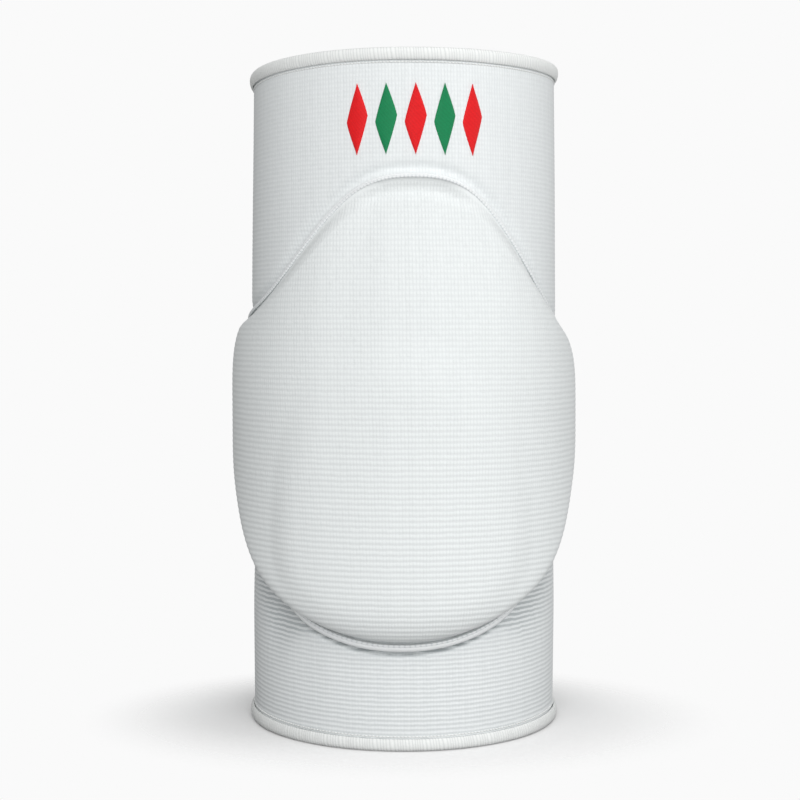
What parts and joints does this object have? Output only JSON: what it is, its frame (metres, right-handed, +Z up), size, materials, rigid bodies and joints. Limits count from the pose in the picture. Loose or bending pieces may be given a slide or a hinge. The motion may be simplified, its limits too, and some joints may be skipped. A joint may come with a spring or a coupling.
{
  "type": "goalkeeper knee pad",
  "caption": "Pull-on goalkeeper knee pad: a tube of ribbed white elastic knit with a bell-shaped foam pad sewn over the kneecap and overlocked hems",
  "frame": {"origin": "centre of the bottom of the object's box, on the surface that the lower hem stands on", "axes": "+Z up along the leg, -Y out of the front of the pad, +X to the right as seen from the front"},
  "size_m": [0.1318, 0.129, 0.2497],
  "materials": {
    "sleeve_knit": "fine white elastic rib knit",
    "pad_knit": "coarser white elastic rib knit stretched over foam",
    "seam_thread": "white sewing thread over a raised seam",
    "hem_yarn": "off-white overlocked yarn"
  },
  "bodies": {
    "root": {"sleeve": "sleeve_knit", "knee_pad": "pad_knit", "pad_seam": "seam_thread", "top_hem": "hem_yarn", "bottom_hem": "hem_yarn"}
  },
  "joints": []
}
